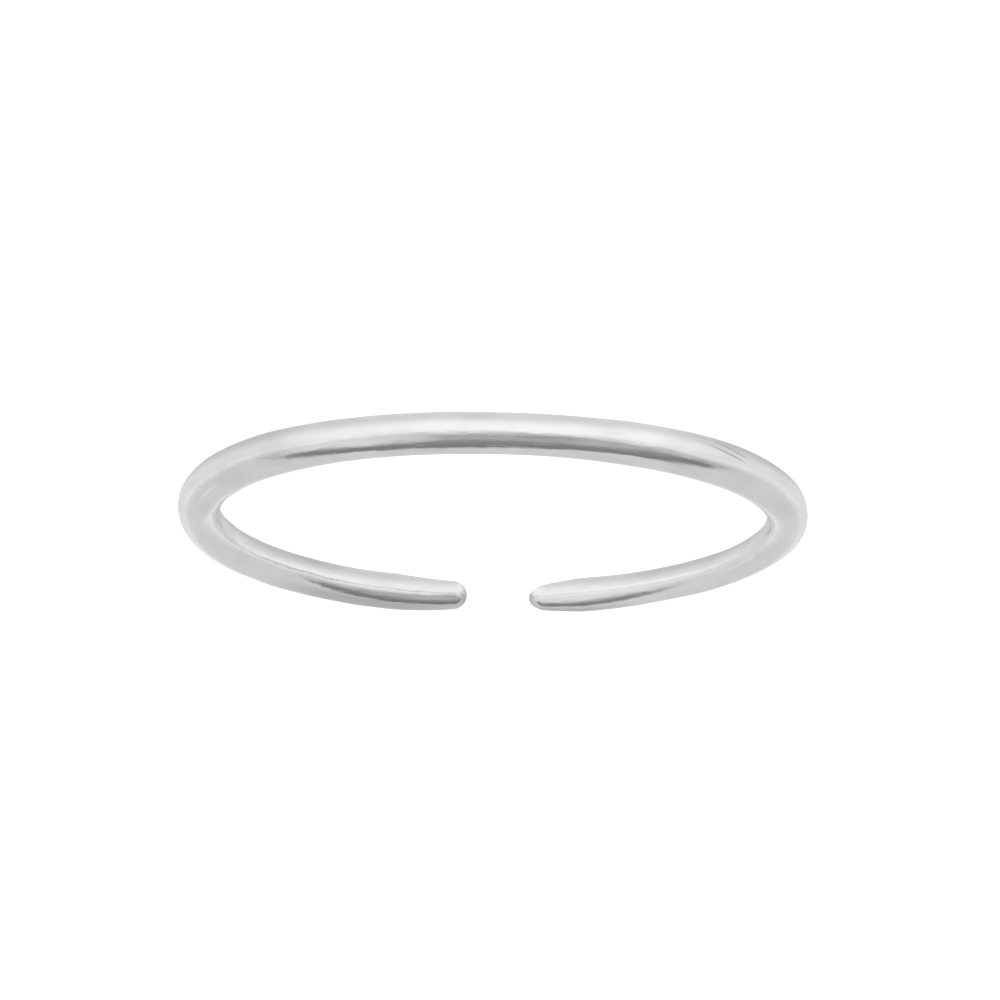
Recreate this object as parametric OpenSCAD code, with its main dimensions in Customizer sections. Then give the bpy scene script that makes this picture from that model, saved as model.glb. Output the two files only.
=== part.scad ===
// Open toe ring, one piece of polished silver wire, in millimetres.
// It lies on its side: +Z is up through the ring, the thick front is towards -Y, the gap is
// towards +Y, and the origin is the centre of the ring on the surface that it lies on.
// The slim arm is on the -X side and the full arm on the +X side.

/* [Ring] */
// Inner diameter
inner_d = 15; // [12:0.5:20]
// Diameter of the wire where it is thickest
wire_d = 1.2; // [0.8:0.05:1.8]
// Gap between the tips of the two arms
gap_w = 1.75; // [0.5:0.05:4]
// How far the middle of the gap lies off the middle of the back, towards the slim arm
gap_offset = 0.17; // [0:0.01:0.6]

/* [Slim arm's end] */
// Length over which the wire thins to its tip
slim_taper_len = 1.6; // [0.8:0.1:4]
// Length of the round dome at the tip
slim_dome_len = 0.46; // [0.2:0.02:0.7]
// How far the tip is bent up out of the ring's plane
slim_rise = 0.04; // [-0.2:0.01:0.2]

/* [Full arm's end] */
// Length over which the wire thins to its tip
full_taper_len = 2.2; // [0.8:0.1:4]
// Length of the round dome at the tip
full_dome_len = 0.36; // [0.2:0.02:0.7]
// How far the tip is bent up out of the ring's plane, or down where negative
full_rise = -0.05; // [-0.2:0.01:0.2]

/* [Hand bending] */
// How far the three flatter stretches lie inside a true circle, and the bulges outside it
out_of_round = 0.08; // [0:0.01:0.2]
// How far the three flatter stretches are turned towards the slim arm
lobe_offset = 0.5; // [0:0.1:1.5]
// How far the same three stretches stand above and below the ring's plane
warp = 0.025; // [0:0.005:0.1]
// How far the quarters of the ring are twisted above and below its plane
skew = 0.01; // [0:0.005:0.1]

/* [Hidden] */

// Thickness of the wire as a share of wire_d, at even steps from the back of the slim arm, over
// the front, to the back of the full arm
SHARES = [
    0.84, 0.80, 0.81, 0.92, 1.01, 0.99,
    0.94,
    0.97, 1.00, 0.97, 0.91, 0.88, 0.86,
];

// Thickness left at each tip, before the dome, as a share of the arm's, and how late the
// taper sets in: 1 is a straight cone
slim_tip_share = 0.62;
full_tip_share = 0.74;
slim_taper_power = 1.3;
full_taper_power = 1.2;

// Rings of points along the wire, and points round it
ring_count = 112;
side_count = 28;

ring_r = (inner_d + wire_d) / 2;
wire_r = wire_d / 2;
share_step = 360 / (len(SHARES) - 1);
gap_turn = asin(gap_offset / ring_r);
gap_half = asin(gap_w / 2 / ring_r);
slim_tip = -180 + gap_turn + gap_half;
full_tip = 180 + gap_turn - gap_half;
lobe_turn = asin(lobe_offset / ring_r);

function clamp(x, low, high) = max(low, min(high, x));
function share_at(i) = SHARES[clamp(i, 0, len(SHARES) - 1)];

// Smooth curve through four evenly spaced values, from b at t = 0 to c at t = 1
function through(a, b, c, d, t) =
    b + t * (c - a) / 2
    + t * t * (a - 2.5 * b + 2 * c - d / 2)
    + t * t * t * (3 * (b - c) + d - a) / 2;

// The angles below are degrees from the front, negative on the slim arm
function arm_share(angle) =
    let (place = (angle + 180) / share_step, i = floor(place))
    through(share_at(i - 1), share_at(i), share_at(i + 1), share_at(i + 2), place - i);

function along(degrees) = ring_r * degrees * PI / 180;
function nearness(distance, len) = clamp(1 - distance / len, 0, 1);

// What a tip leaves of the wire's thickness at a distance from it
function end_share(distance, taper_len, tip_share, power, dome_len) =
    (1 - (1 - tip_share) * pow(nearness(distance, taper_len), power))
    * sqrt(1 - pow(nearness(distance, dome_len), 2));

function radius_at(angle) =
    wire_r * arm_share(angle)
    * end_share(along(angle - slim_tip), slim_taper_len, slim_tip_share,
                slim_taper_power, slim_dome_len)
    * end_share(along(full_tip - angle), full_taper_len, full_tip_share,
                full_taper_power, full_dome_len);

function bend_r(angle) = ring_r - out_of_round * cos(3 * (angle + lobe_turn));

function lift_at(angle) =
    warp * cos(3 * angle) - skew * sin(2 * angle)
    + slim_rise * pow(nearness(along(angle - slim_tip), slim_taper_len), 2)
    + full_rise * pow(nearness(along(full_tip - angle), full_taper_len), 2);

// The rings of points lie closer together towards both tips
function angle_of(i) =
    slim_tip + (full_tip - slim_tip) * (1 - cos(180 * i / ring_count)) / 2;

// Height of the ring's plane at which its lowest point touches the surface
rest_h = max([for (i = [0 : ring_count]) radius_at(angle_of(i)) - lift_at(angle_of(i))]);

// A point of the wire: out is how far it lies off the centre of the wire, away from the
// ring's centre, and up is how far it lies above it
function wire_point(angle, out, up) =
    let (r = bend_r(angle) + out)
    [r * sin(angle), -r * cos(angle), rest_h + lift_at(angle) + up];

function wire_ring(angle) =
    let (r = radius_at(angle))
    [for (j = [0 : side_count - 1])
        let (turn = 360 * j / side_count)
        wire_point(angle, r * cos(turn), r * sin(turn))];

module band() {
    points = concat(
        [for (i = [1 : ring_count - 1]) each wire_ring(angle_of(i))],
        [wire_point(slim_tip, 0, 0), wire_point(full_tip, 0, 0)]
    );
    last_ring = (ring_count - 2) * side_count;
    slim_point = last_ring + side_count;
    full_point = slim_point + 1;
    walls = [
        for (i = [0 : ring_count - 3])
        for (j = [0 : side_count - 1])
        let (
            a = i * side_count + j,
            b = i * side_count + (j + 1) % side_count
        )
        each [[a, b, a + side_count], [b, b + side_count, a + side_count]]
    ];
    ends = [
        for (j = [0 : side_count - 1])
        let (k = (j + 1) % side_count)
        each [[slim_point, k, j], [full_point, last_ring + j, last_ring + k]]
    ];
    color("silver") polyhedron(points, concat(walls, ends), convexity = 4);
}

band();
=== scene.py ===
# %% [markdown]
# # An open toe ring of polished silver wire
#
# The real ring is one length of round silver wire. It is thickest over the toe, it thins towards
# the back, and its two ends are rounded off and stay a little apart, so that the ring can be
# squeezed or opened to fit. There is nothing else on it, so everything depends on two things:
# a wire whose thickness and bend are a little uneven, as hand work is, and a polish that mirrors
# a bright room.
#
# The CAD model gives the size and the place. It is loaded first and is never moved. Here the
# ring lies flat on the floor: +Z is up through the ring, the thick front is towards -Y, and the
# gap is towards +Y. The arm on the -X side is the slim one, and the arm on the +X side the full
# one.

import math
from collections import namedtuple

import bpy
from mathutils import Matrix, Vector


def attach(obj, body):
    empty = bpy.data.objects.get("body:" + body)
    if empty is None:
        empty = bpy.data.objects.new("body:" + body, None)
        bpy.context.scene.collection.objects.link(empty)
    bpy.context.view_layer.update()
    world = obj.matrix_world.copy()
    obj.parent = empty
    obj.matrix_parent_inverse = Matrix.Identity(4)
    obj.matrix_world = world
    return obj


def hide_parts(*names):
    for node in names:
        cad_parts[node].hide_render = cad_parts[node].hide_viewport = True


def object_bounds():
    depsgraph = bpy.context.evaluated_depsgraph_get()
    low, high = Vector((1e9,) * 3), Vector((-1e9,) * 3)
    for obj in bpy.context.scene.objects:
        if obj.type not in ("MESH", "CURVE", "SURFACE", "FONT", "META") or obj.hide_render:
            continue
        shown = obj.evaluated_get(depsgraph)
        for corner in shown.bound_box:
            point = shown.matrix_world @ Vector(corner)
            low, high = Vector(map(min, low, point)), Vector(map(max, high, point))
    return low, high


MM = 0.001


def in_mm(lengths):
    return [round(length / MM, 3) for length in lengths]


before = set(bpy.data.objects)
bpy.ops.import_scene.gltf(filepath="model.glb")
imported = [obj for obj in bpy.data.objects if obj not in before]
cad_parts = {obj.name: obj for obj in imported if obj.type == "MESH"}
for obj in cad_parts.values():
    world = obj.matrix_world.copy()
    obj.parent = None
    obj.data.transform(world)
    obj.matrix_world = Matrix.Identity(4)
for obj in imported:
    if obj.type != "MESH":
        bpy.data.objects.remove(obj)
cad_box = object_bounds()
print("CAD nodes:", sorted(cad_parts))
print("CAD ring, mm:", in_mm(cad_box[1] - cad_box[0]))

# %% [markdown]
# ## The camera
#
# The photograph looks along the ring at about 16.5 degrees to its plane, from a distance of a
# dozen ring widths or more, with the thick front nearest and at the top of the picture. A ring
# that lies on a floor is seen like that by a low camera which is turned upside down about its
# own line of sight, so the camera's axes are worked out here instead of being aimed by a
# constraint. A long lens keeps the two arms nearly the same size, as in the photograph.

# %% Place the camera
RING_CENTRE = Vector((0, 0, 0.634)) * MM
CAMERA_ELEVATION = math.radians(16.555)
CAMERA_ROLL = math.radians(180.914)
CAMERA_DISTANCE = 202.5 * MM
CAMERA_ASIDE = 0.2023 * MM
CAMERA_RAISED = 0.4865 * MM
SENSOR = 36
LENS = 264.2
CLIP_RANGE = (10 * MM, 10)


def camera_axes(elevation, roll):
    """Right, up and back of a camera on the -Y side that is turned about its line of sight."""
    back = Vector((0, -math.cos(elevation), math.sin(elevation)))
    level_right = Vector((1, 0, 0))
    level_up = back.cross(level_right)
    right = level_right * math.cos(roll) + level_up * math.sin(roll)
    return right, back.cross(right), back


def place_camera():
    data = bpy.data.cameras.new("camera")
    data.sensor_width = SENSOR
    data.lens = LENS
    data.clip_start, data.clip_end = CLIP_RANGE
    camera = bpy.data.objects.new("camera", data)
    right, up, back = camera_axes(CAMERA_ELEVATION, CAMERA_ROLL)
    place = RING_CENTRE + back * CAMERA_DISTANCE + right * CAMERA_ASIDE + up * CAMERA_RAISED
    turn = Matrix((right, up, back)).transposed().to_4x4()
    camera.matrix_world = Matrix.Translation(place) @ turn
    bpy.context.scene.collection.objects.link(camera)
    bpy.context.scene.camera = camera
    return camera


camera = place_camera()
print("camera, mm:", in_mm(camera.matrix_world.translation))

# %% [markdown]
# ## Formulas as nodes
#
# The ring's shape, its polish and the light round it are all node trees, and most of what they
# hold are formulas. A Math node does only one step of a formula, so drawing them by hand soon
# takes a hundred nodes that nobody can read back. Here an output of a node is wrapped in a small
# class that knows the signs of arithmetic. A formula is then written as in any other script, and
# each sign in it adds its Math node to the tree. A Mix node has inputs for numbers, vectors and
# colours side by side, so they are told apart by their places.

# %% Wrap a node's output
COLUMNS = 10
COLUMN_WIDTH = 200
ROW_HEIGHT = 260


class Output:
    """An output of a node, for use in a formula or as the input of another node."""

    def __init__(self, node, name=0):
        self.socket = node.outputs[name]
        self.tree = node.id_data

    def __add__(self, other):
        return math_node("ADD", self, other)

    def __radd__(self, other):
        return math_node("ADD", other, self)

    def __sub__(self, other):
        return math_node("SUBTRACT", self, other)

    def __rsub__(self, other):
        return math_node("SUBTRACT", other, self)

    def __mul__(self, other):
        return math_node("MULTIPLY", self, other)

    def __rmul__(self, other):
        return math_node("MULTIPLY", other, self)

    def __truediv__(self, other):
        return math_node("DIVIDE", self, other)

    def __pow__(self, other):
        return math_node("POWER", self, other)

    def __neg__(self):
        return math_node("MULTIPLY", self, -1)

    def __abs__(self):
        return math_node("ABSOLUTE", self)


# %% Make a node and fill its inputs
def put(node, name, value):
    """Sets an input to a plain value, or links it to another node's output."""
    socket = node.inputs[name]
    if isinstance(value, bpy.types.Node):
        value = Output(value)
    if isinstance(value, Output):
        node.id_data.links.new(value.socket, socket)
    else:
        socket.default_value = value


def add(tree, kind, options=None, **inputs):
    """A node of this kind; inputs are named in lower case, or in0, in1 by their place."""
    made = tree.nodes.new(kind)
    count = len(tree.nodes)
    made.location = (COLUMN_WIDTH * (count % COLUMNS), -ROW_HEIGHT * (count // COLUMNS))
    for name, value in (options or {}).items():
        setattr(made, name, value)
    names = [socket.name.lower().replace(" ", "_") for socket in made.inputs]
    for name, value in inputs.items():
        by_place = name[:2] == "in" and name[2:].isdigit()
        put(made, int(name[2:]) if by_place else names.index(name), value)
    return made


def math_node(operation, *values):
    """One step of a formula; at least one of the values is an Output."""
    tree = next(value.tree for value in values if isinstance(value, Output))
    inputs = {f"in{i}": value for i, value in enumerate(values)}
    return Output(add(tree, "ShaderNodeMath", {"operation": operation}, **inputs))


# %% Steps that formulas share
def least(first, second):
    return math_node("MINIMUM", first, second)


def most(first, second):
    return math_node("MAXIMUM", first, second)


def root(value):
    return math_node("SQRT", value)


def ramp(value, start, stop, low=0, high=1):
    """Goes smoothly from low to high while value goes from start to stop."""
    node = add(
        value.tree,
        "ShaderNodeMapRange",
        {"interpolation_type": "SMOOTHSTEP"},
        value=value,
        from_min=start,
        from_max=stop,
        to_min=low,
        to_max=high,
    )
    return Output(node)


def blend(share, first, second):
    """The first number where share is 0, the second where it is 1."""
    options = {"data_type": "FLOAT"}
    return Output(add(share.tree, "ShaderNodeMix", options, in0=share, in2=first, in3=second))


def tint(share, first, second):
    """The first colour where share is 0, the second where it is 1."""
    options = {"data_type": "RGBA"}
    return Output(add(share.tree, "ShaderNodeMix", options, in0=share, in6=first, in7=second), 2)


def split(vector):
    node = add(vector.tree, "ShaderNodeSeparateXYZ", vector=vector)
    return [Output(node, axis) for axis in "XYZ"]


NOISE_AVERAGE = 0.5


def noise(place, across, along, detail, seed):
    """Cloudy noise from 0 to 1, with this many clouds per mm across and along the wire."""
    tree = place.tree
    per_mm = add(tree, "ShaderNodeVectorMath", {"operation": "MULTIPLY"}, in0=place)
    per_mm.inputs[1].default_value = (across / MM, across / MM, along / MM)
    moved = add(tree, "ShaderNodeVectorMath", {"operation": "ADD"}, in0=per_mm)
    moved.inputs[1].default_value = (seed, seed, seed)
    return Output(add(tree, "ShaderNodeTexNoise", vector=moved, scale=1.0, detail=detail))


# %% [markdown]
# ## What one end of the wire does
#
# Towards its tip each arm is filed down to a cone and its edge is rounded to a small dome. Both
# ends follow the same rule with different sizes, so the rule is a node group of its own, which
# the ring's tree uses twice. It takes the distance from the tip and gives the share of the
# thickness that is left there, and how far the end is bent up.

# %% The rule for an end
FLOAT = "NodeSocketFloat"
END_INPUTS = {
    "Distance": 0,
    "Taper": 2 * MM,
    "Tip Share": 0.7,
    "Power": 1.2,
    "Dome": 0.4 * MM,
    "Rise": 0,
}


def group(name, kind, inputs, outputs):
    """An empty node group with numbers as inputs and outputs."""
    tree = bpy.data.node_groups.new(name, kind)
    for label, value in inputs.items():
        tree.interface.new_socket(label, in_out="INPUT", socket_type=FLOAT).default_value = value
    for label in outputs:
        tree.interface.new_socket(label, in_out="OUTPUT", socket_type=FLOAT)
    return tree


def given_to(tree):
    """The inputs of a group, by their names."""
    node = add(tree, "NodeGroupInput")
    return {socket.name: Output(node, socket.name) for socket in node.outputs if socket.name}


def wire_end_group():
    tree = group("Wire end", "GeometryNodeTree", END_INPUTS, ("Share", "Lift"))
    given = given_to(tree)
    in_taper = most(least(1 - given["Distance"] / given["Taper"], 1), 0)
    in_dome = most(least(1 - given["Distance"] / given["Dome"], 1), 0)
    cone = 1 - (1 - given["Tip Share"]) * in_taper ** given["Power"]
    dome = root(1 - in_dome * in_dome)
    add(tree, "NodeGroupOutput", share=cone * dome, lift=given["Rise"] * in_taper * in_taper)
    return tree


wire_end = wire_end_group()
print("wire end rule:", len(wire_end.nodes), "nodes")

# %% [markdown]
# ## The wire
#
# A ring like this can be drawn as a torus and then pulled about by hand, but its sizes would be
# lost in the pulling. Geometry Nodes keep them: a line is laid out with many points, each point
# is moved to its place on the bent ring, each point gets the wire's thickness there, and a
# circle is swept along it. All lengths are the sizes that the ring was drawn with, in metres,
# and the thickness follows one short table, from the back of the slim arm over the front to the
# back of the full arm.

# %% Sizes of the ring
SIZES = {
    "Inner Diameter": 15 * MM,
    "Wire Diameter": 1.2 * MM,
    "Gap": 1.75 * MM,
    "Gap Offset": 0.17 * MM,
    "Slim Taper": 1.6 * MM,
    "Slim Dome": 0.46 * MM,
    "Slim Rise": 0.04 * MM,
    "Full Taper": 2.2 * MM,
    "Full Dome": 0.36 * MM,
    "Full Rise": -0.05 * MM,
    "Out Of Round": 0.08 * MM,
    "Lobe Offset": 0.5 * MM,
    "Warp": 0.025 * MM,
    "Skew": 0.01 * MM,
    "Waviness": 0.05 * MM,
}
SLIM_END = {"tip_share": 0.62, "power": 1.3}
FULL_END = {"tip_share": 0.74, "power": 1.2}
THICKNESS_SHARES = (0.84, 0.80, 0.81, 0.92, 1.01, 0.99, 0.94, 0.97, 1.00, 0.97, 0.91, 0.88, 0.86)
RINGS = 520
SIDES = 72
outside = SIZES["Inner Diameter"] + 2 * SIZES["Wire Diameter"]
print("outside, where the wire is thickest:", round(outside / MM, 2), "mm")

# %% [markdown]
# ## Where each point of the line lies
#
# Every point is known by its angle from the front of the ring. The points crowd together towards
# both tips, where the thickness changes fastest, and each also knows how far it is from either
# tip, measured along the wire.

# %% Angles and distances along the wire
Line = namedtuple("Line", "ring_r angle from_slim from_full")


def line_of(given):
    """The ring's radius, each point's angle from the front, and its distance from either tip."""
    ring_r = (given["Inner Diameter"] + given["Wire Diameter"]) / 2
    gap_turn = math_node("ARCSINE", given["Gap Offset"] / ring_r)
    gap_half = math_node("ARCSINE", given["Gap"] / 2 / ring_r)
    slim_tip = gap_turn - math.pi + gap_half
    full_tip = gap_turn + math.pi - gap_half
    step = Output(add(ring_r.tree, "GeometryNodeInputIndex")) / (given["Rings"] - 1)
    eased = (1 - math_node("COSINE", step * math.pi)) / 2
    angle = slim_tip + (full_tip - slim_tip) * eased
    return Line(ring_r, angle, (angle - slim_tip) * ring_r, (full_tip - angle) * ring_r)


def thickness_share(angle):
    """The table of thickness shares as a smooth curve over the angle from the front."""
    turn = (angle + math.pi) / (2 * math.pi)
    node = add(angle.tree, "ShaderNodeFloatCurve", value=turn)
    node.mapping.use_clip = False
    curve = node.mapping.curves[0]
    last = len(THICKNESS_SHARES) - 1
    curve.points[0].location = (0, THICKNESS_SHARES[0])
    curve.points[1].location = (1, THICKNESS_SHARES[last])
    for i in range(1, last):
        curve.points.new(i / last, THICKNESS_SHARES[i])
    node.mapping.update()
    return Output(node)


print("known along the line:", ", ".join(Line._fields))

# %% [markdown]
# ## The hand-bent ring
#
# A ring that is hammered round a mandrel isn't a true circle. This one has three slightly flatter
# stretches, and the same three stand a little above its plane. The ends are bent up or down a
# trace as well. The lowest point of the whole wire then gives the height at which the ring rests
# on the floor.

# %% Bend the line
def wire_end_at(given, name, distance, shape):
    """The rule for an end, with the sizes of this arm."""
    return add(
        distance.tree,
        "GeometryNodeGroup",
        {"node_tree": wire_end},
        distance=distance,
        taper=given[f"{name} Taper"],
        dome=given[f"{name} Dome"],
        rise=given[f"{name} Rise"],
        **shape,
    )


def shape_of(given, line):
    """The wire's radius, its distance from the ring's centre and its height over the plane."""
    slim = wire_end_at(given, "Slim", line.from_slim, SLIM_END)
    full = wire_end_at(given, "Full", line.from_full, FULL_END)
    share = thickness_share(line.angle) * (Output(slim, "Share") * Output(full, "Share"))
    lobe_turn = math_node("ARCSINE", given["Lobe Offset"] / line.ring_r)
    lobes = math_node("COSINE", (line.angle + lobe_turn) * 3)
    warp = given["Warp"] * math_node("COSINE", line.angle * 3)
    skew = given["Skew"] * math_node("SINE", line.angle * 2)
    ends = Output(slim, "Lift") + Output(full, "Lift")
    wire_r = given["Wire Diameter"] / 2 * share
    return wire_r, line.ring_r - given["Out Of Round"] * lobes, warp - skew + ends


def bent_place(points, line, wire_r, bend_r, lift):
    """Where each point lies on the ring, with the ring resting on the floor."""
    tree = lift.tree
    lowest = add(tree, "GeometryNodeAttributeStatistic", geometry=points, attribute=wire_r - lift)
    return add(
        tree,
        "ShaderNodeCombineXYZ",
        x=bend_r * math_node("SINE", line.angle),
        y=bend_r * -math_node("COSINE", line.angle),
        z=lift + Output(lowest, "Max"),
    )


# %% [markdown]
# ## Sweep the section along it
#
# The section is a circle of radius 1, and Curve to Mesh scales it by the thickness at each point.
# While it is swept, every point also keeps the place that it had before the wire was bent: how
# far out and down it is from the middle of the wire, and how far along. The polish needs it
# later, because its streaks follow the wire. At the very tip the section has shrunk to a point,
# so the doubles there are merged and the ends are closed.
#
# Last, the surface is raised and lowered by less than the width of a hair. It can't be felt, but
# it makes the edges of the reflections wander, as they do on metal that was polished by hand.

# %% Sweep, close and finish the wire
STRAIGHT = "straight_wire"
TO_TIP = "to_tip"
MERGE = 0.00002 * MM
SWELLS = {"across": 0.9, "along": 0.4, "detail": 1, "seed": 5.3}


def keep(geometry, kind, **values):
    """Keeps these values with the points of the geometry while other nodes change it."""
    tree = geometry.id_data
    node = add(tree, "GeometryNodeCaptureAttribute")
    for label in values:
        node.capture_items.new(kind, label)
    put(node, 0, geometry)
    for place, value in enumerate(values.values(), start=1):
        put(node, place, value)
    return node


def store(geometry, kind, name, value):
    """Writes a value on the mesh, where a material can read it."""
    options = {"data_type": kind, "domain": "POINT"}
    return add(
        geometry.id_data,
        "GeometryNodeStoreNamedAttribute",
        options,
        geometry=geometry,
        name=name,
        value=value,
    )


def waved(geometry, place, height):
    """The surface, moved in and out along its normals."""
    tree = geometry.id_data
    normal = add(tree, "GeometryNodeInputNormal")
    swell = (noise(place, **SWELLS) - NOISE_AVERAGE) * height
    offset = add(tree, "ShaderNodeVectorMath", {"operation": "SCALE"}, in0=normal, scale=swell)
    return add(tree, "GeometryNodeSetPosition", geometry=geometry, offset=offset)


def bent_line(given, line):
    """The bent curve, and the node that keeps what its points know of the straight wire."""
    tree = line.angle.tree
    wire_r, bend_r, lift = shape_of(given, line)
    straight_line = add(tree, "GeometryNodeCurvePrimitiveLine", end=(MM, 0, 0))
    points = add(tree, "GeometryNodeResampleCurve", curve=straight_line, count=given["Rings"])
    to_tip = least(line.from_slim, line.from_full)
    kept = keep(points, "FLOAT", along=line.angle * line.ring_r, thickness=wire_r, to_tip=to_tip)
    place = bent_place(points, line, wire_r, bend_r, lift)
    bent = add(tree, "GeometryNodeSetPosition", geometry=kept, position=place)
    return add(tree, "GeometryNodeSetCurveNormal", {"mode": "Z_UP"}, curve=bent), kept


def swept(given, line):
    """The bent wire as a closed mesh that knows its own straight coordinates."""
    tree = line.angle.tree
    curve, kept = bent_line(given, line)
    circle = add(tree, "GeometryNodeCurvePrimitiveCircle", resolution=given["Sides"], radius=1)
    section = keep(circle, "VECTOR", side=add(tree, "GeometryNodeInputPosition"))
    thick = Output(kept, "thickness")
    mesh = add(tree, "GeometryNodeCurveToMesh", curve=curve, profile_curve=section, scale=thick)
    closed = add(tree, "GeometryNodeMergeByDistance", geometry=mesh, distance=MERGE)
    out, down, _ = split(Output(section, "side"))
    along = Output(kept, "along")
    straight = Output(add(tree, "ShaderNodeCombineXYZ", x=out * thick, y=down * thick, z=along))
    smooth = waved(closed, straight, given["Waviness"])
    marked = store(smooth, "FLOAT_VECTOR", STRAIGHT, straight)
    return store(marked, "FLOAT", TO_TIP, Output(kept, "to_tip"))


print("kept on the mesh:", STRAIGHT, "and", TO_TIP)

# %% [markdown]
# ## The ring's tree
#
# The tree itself only declares its inputs and calls the steps above. It ends in Realize Instances
# and Set Material, so that what comes out is an ordinary mesh with its finish on.

# %% Put the tree together
def wire_tree():
    tree = bpy.data.node_groups.new("Open ring of wire", "GeometryNodeTree")
    for label, value in SIZES.items():
        socket = tree.interface.new_socket(label, in_out="INPUT", socket_type=FLOAT)
        socket.subtype = "DISTANCE"
        socket.default_value = value
    for label, value in (("Rings", RINGS), ("Sides", SIDES)):
        socket = tree.interface.new_socket(label, in_out="INPUT", socket_type="NodeSocketInt")
        socket.default_value = value
    tree.interface.new_socket("Finish", in_out="INPUT", socket_type="NodeSocketMaterial")
    tree.interface.new_socket("Ring", in_out="OUTPUT", socket_type="NodeSocketGeometry")
    given = given_to(tree)
    wire = swept(given, line_of(given))
    smooth = add(tree, "GeometryNodeSetShadeSmooth", geometry=wire, shade_smooth=True)
    real = add(tree, "GeometryNodeRealizeInstances", geometry=smooth)
    done = add(tree, "GeometryNodeSetMaterial", geometry=real, material=given["Finish"])
    add(tree, "NodeGroupOutput", ring=done)
    return tree


ring_nodes = wire_tree()
print("ring tree:", len(ring_nodes.nodes), "nodes")

# %% [markdown]
# ## Scratches with painted shade and highlights, and greyer spots
#
# A ring that has been tried on and put away has a few scratches, short and straight and mostly
# along the wire, and near both tips the top of the wire is greyer. Such marks could be
# drawn on an image, but an image has to be unwrapped and is coarse from near by. A mark is
# simpler as a formula: it is 1 where a point is near a short line on the wire, and 0 elsewhere.
# The formula is a node group, and a short table with a row for each mark says where it lies: how
# far along the wire from the front, how far round it (0 is the outermost side, -90 the top and
# 180 the innermost side), and how far it leaves the wire's own direction. A deep scratch is a
# small groove whose colour is darkened as painted shade, and a burnished one a groove whose
# colour is raised to white as a painted highlight. The greyer spots near the tips, and the inner
# side of the slim arm, which the toe has rubbed and whose colour is raised to white as a painted
# highlight, are only wider marks.

# %% One mark as a node group, and where the marks lie
Mark = namedtuple("Mark", "along around length width slant")
# Deep scratches: real grooves whose colour is darkened as painted shade.
DEEP_SHADED = (
    Mark(along=-6.5 * MM, around=10, length=1.7 * MM, width=0.09 * MM, slant=0.17),
    Mark(along=-6.75 * MM, around=24, length=1.4 * MM, width=0.08 * MM, slant=0.26),
    Mark(along=-12.6 * MM, around=-149, length=1.4 * MM, width=0.09 * MM, slant=0.08),
)
# Burnished scratches: shallow grooves whose colour is raised to white as a painted highlight.
BURNISHED_HIGHLIGHTS = (
    Mark(along=9.3 * MM, around=-55, length=1.8 * MM, width=0.13 * MM, slant=-0.067),
    Mark(along=-16.6 * MM, around=-145, length=3.0 * MM, width=0.09 * MM, slant=0),
    Mark(along=-15.5 * MM, around=-143, length=0.9 * MM, width=0.14 * MM, slant=0.05),
)
# The rubbed inner side of the slim arm, raised to white as a painted highlight.
RUBBED_HIGHLIGHT = (Mark(along=-21 * MM, around=-165, length=10 * MM, width=1.0 * MM, slant=0),)
# Greyer spots on the top of the wire near both tips.
GREYED_SPOTS = (
    Mark(along=21.6 * MM, around=-108, length=8.5 * MM, width=0.7 * MM, slant=0),
    Mark(along=-24.0 * MM, around=-90, length=7.0 * MM, width=0.6 * MM, slant=0),
)
SOFT_SIDE = 0.3
SOFT_END = 0.25


def mark_group():
    inputs = ("Along", "Around", "Radius", "Place", "Turn", "Length", "Width", "Slant")
    tree = group("Mark on the wire", "ShaderNodeTree", dict.fromkeys(inputs, 0), ("Mask",))
    given = given_to(tree)
    ahead = given["Along"] - given["Place"]
    aside = (given["Around"] - given["Turn"]) * given["Radius"] - ahead * given["Slant"]
    half_width = given["Width"] / 2
    half_length = given["Length"] / 2
    across = ramp(abs(aside), half_width, half_width * SOFT_SIDE)
    lengthwise = ramp(abs(ahead), half_length, half_length * SOFT_END)
    add(tree, "NodeGroupOutput", mask=across * lengthwise)
    return tree


mark_nodes = mark_group()
print("scratches:", len(DEEP_SHADED), "deep and", len(BURNISHED_HIGHLIGHTS), "burnished")
print("wider marks:", len(RUBBED_HIGHLIGHT), "rubbed_highlight and", len(GREYED_SPOTS), "tarnished")


def marks(along, around, radius, rows):
    """1 in the marks of these rows and 0 between them."""
    mask = 0
    for row in rows:
        one = add(
            along.tree,
            "ShaderNodeGroup",
            {"node_tree": mark_nodes},
            along=along,
            around=around,
            radius=radius,
            place=row.along,
            turn=math.radians(row.around),
            length=row.length,
            width=row.width,
            slant=row.slant,
        )
        mask = most(Output(one), mask)
    return mask


# %% [markdown]
# ## Where the silver is worn, and where shade and highlights are painted
#
# A perfect mirror would look like computer chrome. What makes it silver is what happened to it.
# It is duller in clouds where it is handled. The polishing wheel has reached its inner side only
# on the full arm, and the two tips were filed and lightly polished, and their colour is darkened
# towards the very tip as painted shade. Each of these is a mask that goes from 0 to 1, and so are
# the scratches, with their painted shade and highlights, and the greyer spots near the tips.

# %% Masks for the wear and for the painted shade and highlights
HANDLED_CLOUDS = {"across": 1.7, "along": 0.8, "detail": 4, "seed": 3.7}
HANDLED_EDGE = (0.42, 0.66)
INSIDE_EDGE = (0.60, 0.95)
WHEEL_REACH = (16 * MM, 8 * MM)
# How far from each tip the satin filing and its painted shade reach.
FILED_AND_SHADED_EDGE = (0.26 * MM, 0.02 * MM)
# Masks of real wear, of the greyer spots, and of the painted shade and highlights.
WearAndPaintedLight = namedtuple("WearAndPaintedLight", "handled inside filed deep burnished tarnished")


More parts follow.
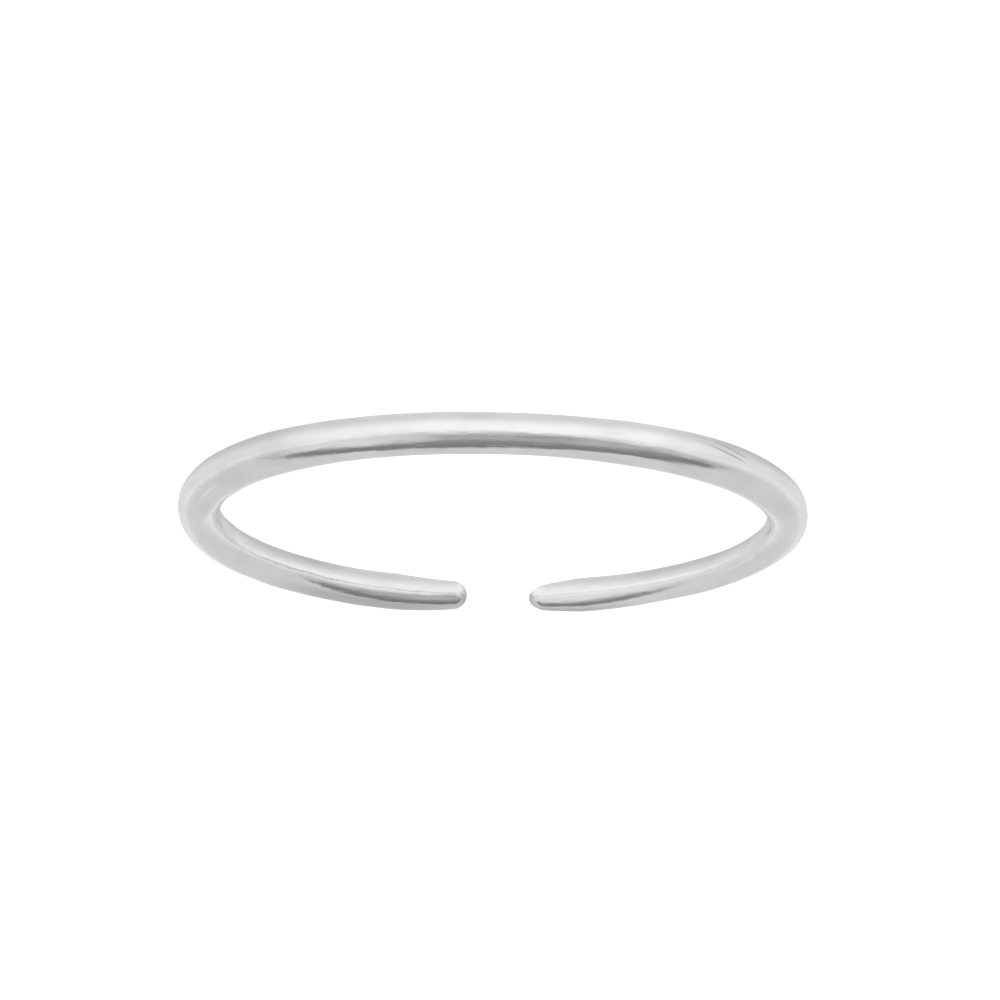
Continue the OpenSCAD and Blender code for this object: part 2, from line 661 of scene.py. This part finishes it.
def wear_and_light_of(wire, to_tip):
    """The masks, from the place on the straight wire and the distance from the nearer tip."""
    out, down, along = split(wire)
    around = math_node("ARCTAN2", down, out)
    radius = root(out * out + down * down)
    return WearAndPaintedLight(
        handled=ramp(noise(wire, **HANDLED_CLOUDS), *HANDLED_EDGE),
        inside=ramp(-out / radius, *INSIDE_EDGE) * ramp(along, *WHEEL_REACH),
        # Near each tip: satin roughness, and painted shade in the colour.
        filed=ramp(to_tip, *FILED_AND_SHADED_EDGE),
        # Deep scratches: a groove in the bump, and painted shade in the colour.
        deep=marks(along, around, radius, DEEP_SHADED),
        # Burnished scratches and the rubbed inner side: a groove, and a painted highlight in the
        # colour.
        burnished=marks(along, around, radius, BURNISHED_HIGHLIGHTS + RUBBED_HIGHLIGHT),
        # Greyer spots near the tips.
        tarnished=marks(along, around, radius, GREYED_SPOTS),
    )


print("masks:", ", ".join(WearAndPaintedLight._fields))

# %% [markdown]
# ## The height of the surface
#
# Under the polish the wire is still a little uneven from the hammer, in flat spots of about a
# fifth of a millimetre, which makes the edges of the reflections ragged. Over them run the
# streaks of the polishing wheel, fine grain, and a few hairlines. All of them follow the wire,
# so each noise is stretched along it. Their heights are counted in streaks: one streak is three
# thousandths of a millimetre high.

# %% Height of the surface
UNEVEN = {"across": 4.5, "along": 1.5, "detail": 2, "seed": 7.9}
UNEVEN_HEIGHT = 3.5
WHEEL_STREAKS = {"across": 12, "along": 0.7, "detail": 3, "seed": 11.3}
STREAK_HEIGHT = 0.003 * MM
FINE_GRAIN = {"across": 40, "along": 3, "detail": 2, "seed": 23.1}
GRAIN_HEIGHT = 0.25
HAIRLINES = {"across": 30, "along": 0.8, "detail": 1, "seed": 31.9}
HAIRLINE_EDGE = (0.70, 0.78)
HAIRLINE_DEPTH = 0.5
DEEP_DEPTH = 1.5
BURNISHED_DEPTH = 0.5


def surface_height(wire, wear_and_light):
    """How high the surface stands, in streaks."""
    raised = noise(wire, **UNEVEN) * UNEVEN_HEIGHT + noise(wire, **WHEEL_STREAKS)
    raised = raised + noise(wire, **FINE_GRAIN) * GRAIN_HEIGHT
    hairlines = ramp(noise(wire, **HAIRLINES), *HAIRLINE_EDGE)
    cut = hairlines * HAIRLINE_DEPTH + wear_and_light.deep * DEEP_DEPTH + wear_and_light.burnished * BURNISHED_DEPTH
    return raised - cut


print("a streak's height, mm:", *in_mm([STREAK_HEIGHT]))

# %% [markdown]
# ## Polished silver
#
# Silver is the whitest of the metals and mirrors nearly all the light that falls on it, so it is
# a metal with a pale, neutral colour and hardly any roughness. The masks share out its colour and
# its roughness: a handled spot is slightly greyer and softer, the spots near the tips are greyer
# still, and a filed tip is satin and made grey by painted shade. A deep scratch is darkened as
# painted shade, and a burnished one is raised to white as a painted highlight. The height goes in
# as a bump, because it is far too fine for the mesh.

# %% The silver
SILVER_COLOUR = (0.92, 0.92, 0.915, 1)
HANDLED_COLOUR = (0.86, 0.86, 0.855, 1)
# Greyer colour of the spots near the tips.
GREYED_COLOUR = (0.64, 0.64, 0.635, 1)
# Painted shade: the colour towards the very tips.
TIP_SHADE_COLOUR = (0.44, 0.44, 0.44, 1)
# Painted shade: the colour of the deep scratches.
DEEP_SHADE_COLOUR = (0.56, 0.56, 0.56, 1)
# Painted highlight: the colour of the burnished scratches and the rubbed inner side.
HIGHLIGHT_COLOUR = (1, 1, 1, 1)
POLISHED = 0.09
HANDLED = 0.17
INSIDE = 0.26
FILED = 0.30


def colour_of(wear_and_light):
    colour = tint(wear_and_light.handled, SILVER_COLOUR, HANDLED_COLOUR)
    # The spots near the tips are made greyer.
    colour = tint(wear_and_light.tarnished, colour, GREYED_COLOUR)
    # Painted shade darkens the tips.
    colour = tint(wear_and_light.filed, colour, TIP_SHADE_COLOUR)
    # Painted shade darkens the deep scratches.
    colour = tint(wear_and_light.deep, colour, DEEP_SHADE_COLOUR)
    # A painted highlight brightens the burnished scratches and the rubbed inner side.
    return tint(wear_and_light.burnished, colour, HIGHLIGHT_COLOUR)


def roughness_of(wear_and_light):
    rough = blend(wear_and_light.handled, POLISHED, HANDLED)
    rough = blend(wear_and_light.inside, rough, INSIDE)
    return blend(wear_and_light.filed, rough, FILED)


def polished_silver():
    material = bpy.data.materials.new("polished_silver")
    material.use_nodes = True
    tree = material.node_tree
    tree.nodes.clear()
    wire = Output(add(tree, "ShaderNodeAttribute", {"attribute_name": STRAIGHT}), "Vector")
    to_tip = Output(add(tree, "ShaderNodeAttribute", {"attribute_name": TO_TIP}), "Fac")
    wear_and_light = wear_and_light_of(wire, to_tip)
    height = surface_height(wire, wear_and_light)
    bump = add(tree, "ShaderNodeBump", strength=1.0, distance=STREAK_HEIGHT, height=height)
    rough = roughness_of(wear_and_light)
    shader = add(tree, "ShaderNodeBsdfPrincipled", metallic=1.0, roughness=rough, normal=bump)
    put(shader, "Base Color", colour_of(wear_and_light))
    add(tree, "ShaderNodeOutputMaterial", surface=shader)
    return material


silver = polished_silver()
print("silver:", len(silver.node_tree.nodes), "nodes, roughness", POLISHED, "to", FILED)

# %% [markdown]
# ## Turn the tree into the ring
#
# The tree is run once with its inputs set, and its result is copied into a plain mesh that takes
# the place of the CAD ring. The inputs are set by the identifiers of their sockets, because two
# sockets may share a name. The box of the new mesh is printed beside the CAD ring's, and the two
# have to agree to a hundredth of a millimetre or so, which is what the waviness adds.

# %% Make the band
def inputs_of(tree):
    """The identifiers of the tree's inputs, by their names."""
    items = tree.interface.items_tree
    return {item.name: item.identifier for item in items if item.in_out == "INPUT"}


def run_tree(name, tree, values):
    """The tree's result as an object with a plain mesh."""
    host = bpy.data.objects.new(name + "_host", bpy.data.meshes.new(name + "_host"))
    bpy.context.scene.collection.objects.link(host)
    modifier = host.modifiers.new("ring", "NODES")
    modifier.node_group = tree
    identifiers = inputs_of(tree)
    for label, value in values.items():
        modifier[identifiers[label]] = value
    graph = bpy.context.evaluated_depsgraph_get()
    mesh = bpy.data.meshes.new_from_object(host.evaluated_get(graph), depsgraph=graph)
    bpy.data.objects.remove(host)
    mesh.name = name
    piece = bpy.data.objects.new(name, mesh)
    bpy.context.scene.collection.objects.link(piece)
    return piece


band_values = {**SIZES, "Rings": RINGS, "Sides": SIDES, "Finish": silver}
band = run_tree("silver_band", ring_nodes, band_values)
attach(band, "root")
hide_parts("band")
visual_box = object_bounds()
print("band:", len(band.data.vertices), "points,", len(band.data.polygons), "faces")
print("band, mm:", in_mm(visual_box[0]), in_mm(visual_box[1]))
print("CAD, mm: ", in_mm(cad_box[0]), in_mm(cad_box[1]))

# %% [markdown]
# ## A pale floor
#
# Polished metal has hardly a look of its own and shows what stands round it, so the floor and
# the light decide how silver the ring looks. The floor fills the background of the picture, and
# it is also what the lower half of the wire mirrors. In front of the ring the mirrored floor is
# brighter than beside and behind it, as where a window stands low over a table. So the floor has
# a brighter pool that opens out in front, a round one inside the ring, and a narrow one under
# its back. They are part of its paint and of a faint glow, and the glow is lifted for the camera
# alone until the floor shows as plain white.

# %% The floor
FLOOR_SIDE = 2.0
FLOOR_PAINT = (0.30, 0.43)
FLOOR_GLOW = (0.42, 0.50)
FLOOR_LIFT = 0.5
FRONT_X, FRONT_Y = -0.6 * MM, -3 * MM
FRONT_HALF_ANGLE = (math.radians(74), math.radians(40))
INNER_X, INNER_Y = 0.4 * MM, 3 * MM
INNER_HALF_WIDTH, INNER_HALF_DEPTH = 4.5 * MM, 6 * MM
INNER_EDGE = (1.2, 0.6)
INNER_SHARE = 0.7
BACK_NEAR_EDGE = (5.5 * MM, 8 * MM)
BACK_FAR_EDGE = (13 * MM, 9.5 * MM)
WHITE = (1, 1, 1, 1)


def pool_of_light(x, y):
    """1 in the pools in front of the ring and behind it, less inside the ring, 0 elsewhere."""
    off_axis = math_node("ARCTAN2", abs(x - FRONT_X), FRONT_Y - y)
    in_front = ramp(off_axis, *FRONT_HALF_ANGLE)
    across = (x - INNER_X) / INNER_HALF_WIDTH
    ahead = (y - INNER_Y) / INNER_HALF_DEPTH
    reach = root(across * across + ahead * ahead)
    inside = ramp(reach, *INNER_EDGE, 0, INNER_SHARE)
    behind = ramp(y, *BACK_NEAR_EDGE) * ramp(root(x * x + y * y), *BACK_FAR_EDGE)
    return most(most(in_front, inside), behind)


def floor_paint():
    material = bpy.data.materials.new("pale_floor")
    material.use_nodes = True
    tree = material.node_tree
    tree.nodes.clear()
    x, y, _ = split(Output(add(tree, "ShaderNodeTexCoord"), "Object"))
    pool = pool_of_light(x, y)
    paint = add(tree, "ShaderNodeBsdfDiffuse", color=blend(pool, *FLOOR_PAINT))
    seen = Output(add(tree, "ShaderNodeLightPath"), "Is Camera Ray")
    strength = seen * FLOOR_LIFT + blend(pool, *FLOOR_GLOW)
    glow = add(tree, "ShaderNodeEmission", color=WHITE, strength=strength)
    both = add(tree, "ShaderNodeAddShader", in0=paint, in1=glow)
    add(tree, "ShaderNodeOutputMaterial", surface=both)
    return material


def pale_floor():
    half = FLOOR_SIDE / 2
    mesh = bpy.data.meshes.new("floor")
    corners = [(-half, -half, 0), (half, -half, 0), (half, half, 0), (-half, half, 0)]
    mesh.from_pydata(corners, [], [(0, 1, 2, 3)])
    mesh.materials.append(floor_paint())
    floor = bpy.data.objects.new("floor", mesh)
    bpy.context.scene.collection.objects.link(floor)
    return floor


floor = pale_floor()
print("floor:", floor.dimensions[0], "m square")

# %% [markdown]
# ## A lamp for the floor
#
# One wide, soft sun lamp from above lights the paint of the floor and gives the ring the faint
# grey of its contact with it. The ring itself doesn't mirror the lamp: what the silver shows is
# all drawn in the next step, where it can be placed.

# %% The lamp
LAMP_POWER = 2.2
LAMP_SPREAD = math.radians(60)
LAMP_TILT = math.radians(-20)


def floor_lamp():
    data = bpy.data.lights.new("lamp", "SUN")
    data.energy = LAMP_POWER
    data.angle = LAMP_SPREAD
    lamp = bpy.data.objects.new("lamp", data)
    lamp.rotation_euler = (LAMP_TILT, 0, 0)
    lamp.visible_glossy = False
    lamp.visible_camera = False
    bpy.context.scene.collection.objects.link(lamp)
    return lamp


floor_lamp()
print("lamp:", LAMP_POWER, "W/m2 over", round(math.degrees(LAMP_SPREAD)), "degrees")

# %% [markdown]
# ## What the silver mirrors
#
# Jewellery is photographed in a light tent: white cloth all round, with a bright window in it
# and darker places that give the metal its dark lines. Without those lines silver looks like
# white plastic. The tent could be built of planes and area lamps, but here it is one formula for
# the world: for each direction, how bright it is there. From the front up to the top it is a
# window low over the floor, the dimmer room above it, and the dark ceiling. Then comes a sharp
# edge, which starts higher on the +X side, and behind that the light back wall, with a shallow
# dent near its middle. The polished wire draws the whole of this as thin bands along its length,
# so the one dark line that runs round the ring is the ceiling's edge.
#
# The cloth isn't even, either. Two round patches of it are lighter, one on each side, and one
# near the middle of the front is slightly shaded. Each has its middle at an azimuth and an
# elevation, its full tone as far as the inner angle from there, and ends at the outer one.
# Wherever a pair of heights is given below, one zone goes over into the next between them: 0 is
# the horizon and 1 is straight up.

# %% The zones of the tent
Patch = namedtuple("Patch", "azimuth elevation inner outer tone")
WINDOW_TONE = 0.95
WINDOW_SIDE_TONE = 0.80
WINDOW_REACH = (0.1, 0.75)
ROOM_TONE = 0.42
ROOM_RISE = (0.04, 0.54)
CEILING_TONE = 0.25
CEILING_RISE = (0.68, 0.97)
EDGE_TONE = 0.22
EDGE_RISE = (0.42, 0.62)
EDGE_REACH = (0.6, 0.15)
EDGE_TILT = 0.12
WALL_TONE = 0.65
WALL_FOOT_TONE = 0.82
WALL_FOOT_RISE = (0, 0.3)
WALL_PLACE = 0.08
WALL_SOFTNESS = (0.05, -0.08)
DENT_PLACE = 0.25
DENT_REACH = (0.6, 0.1)
DENT_DEPTH = 0.15
LIGHT_PATCHES = (
    Patch(azimuth=56, elevation=28, inner=15, outer=56, tone=0.73),
    Patch(azimuth=-42, elevation=38, inner=5, outer=35, tone=0.47),
)
SHADED_PATCHES = (Patch(azimuth=-14, elevation=16, inner=5, outer=28, tone=0.70),)


def direction(azimuth, elevation):
    """A direction in degrees as x, y and z; azimuth 0 is the front and 90 is +X."""
    a, e = math.radians(azimuth), math.radians(elevation)
    return (math.sin(a) * math.cos(e), -math.cos(a) * math.cos(e), math.sin(e))


def in_patch(where, patch):
    """1 inside a round patch of the tent and 0 outside it, with a soft edge."""
    dot = add(where.tree, "ShaderNodeVectorMath", {"operation": "DOT_PRODUCT"}, in0=where)
    dot.inputs[1].default_value = direction(patch.azimuth, patch.elevation)
    angle = math_node("ARCCOSINE", Output(dot, "Value"))
    return ramp(angle, math.radians(patch.outer), math.radians(patch.inner))


def front_tone(where, x, y, up):
    """Window, room and ceiling, from the horizon up, with the patches on them."""
    facing = -y / root(x * x + y * y)
    window = ramp(facing, *WINDOW_REACH, WINDOW_SIDE_TONE, WINDOW_TONE)
    tone = blend(ramp(up, *ROOM_RISE), window, ROOM_TONE)
    tone = blend(ramp(up, *CEILING_RISE), tone, CEILING_TONE)
    for patch in LIGHT_PATCHES:
        tone = most(tone, in_patch(where, patch) * patch.tone)
    for patch in SHADED_PATCHES:
        tone = tone * (1 - in_patch(where, patch) * (1 - patch.tone))
    return tone


def tent_tone(where):
    """How bright the tent is in this direction."""
    x, y, up = split(where)
    dent = ramp(abs(x - DENT_PLACE), *DENT_REACH, 0, DENT_DEPTH)
    before_wall = dent + WALL_PLACE - y
    edge_up = up - most(x, 0) * EDGE_TILT
    edge = ramp(before_wall, *EDGE_REACH) * ramp(edge_up, *EDGE_RISE)
    tone = blend(edge, front_tone(where, x, y, up), EDGE_TONE)
    wall = ramp(up, *WALL_FOOT_RISE, WALL_FOOT_TONE, WALL_TONE)
    return blend(ramp(before_wall, *WALL_SOFTNESS), tone, wall)


print("patches:", len(LIGHT_PATCHES), "lighter and", len(SHADED_PATCHES), "shaded")

# %% Light the scene with the tent
def light_tent():
    world = bpy.data.worlds.new("light_tent")
    world.use_nodes = True
    tree = world.node_tree
    tree.nodes.clear()
    where = Output(add(tree, "ShaderNodeTexCoord"), "Generated")
    back = add(tree, "ShaderNodeBackground", color=WHITE, strength=tent_tone(where))
    add(tree, "ShaderNodeOutputWorld", surface=back)
    bpy.context.scene.world = world
    return world


tent = light_tent()
bpy.context.scene.view_settings.view_transform = "Standard"
print("light tent:", len(tent.node_tree.nodes), "nodes")

# %% [markdown]
# ## The two boxes
#
# The box of the CAD ring and the box of the finished one are printed side by side above, so that
# they can be compared.

# %% Where the boxes are
print("CAD and visual boxes printed above")
